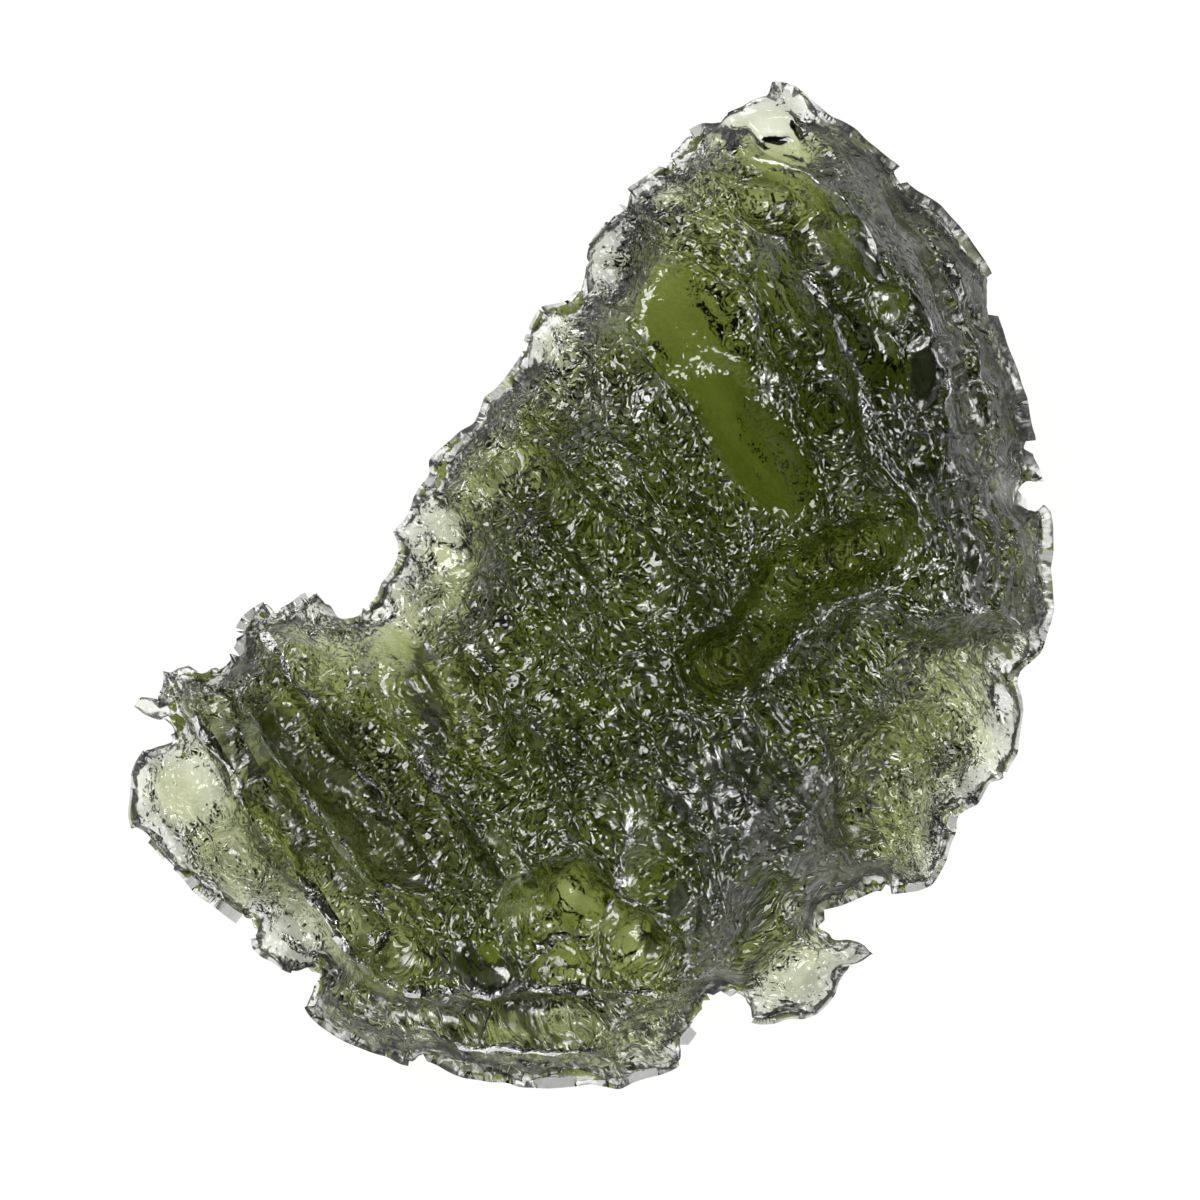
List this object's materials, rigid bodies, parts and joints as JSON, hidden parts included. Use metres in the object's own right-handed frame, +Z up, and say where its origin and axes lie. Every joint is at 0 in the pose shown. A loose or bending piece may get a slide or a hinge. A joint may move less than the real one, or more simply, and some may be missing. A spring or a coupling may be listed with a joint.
{
  "type": "moldavite",
  "caption": "Irregular etched piece of see-through green natural glass, half-moon shaped, with furrows, lamellae, pits and thin pale edges, resting on a small flat spot.",
  "frame": {"origin": "centre of the bounding box in plan, at the height of the surface it rests on", "axes": "+Z up out of the resting surface, +Y along the longest reach towards the pointed tip, +X towards the thick curved edge"},
  "size_m": [0.0372, 0.0404, 0.0106],
  "materials": {
    "moldavite_glass": "etched, glossy natural glass, bottle green, paler where thin"
  },
  "bodies": {
    "root": {"moldavite": "moldavite_glass"}
  },
  "joints": []
}
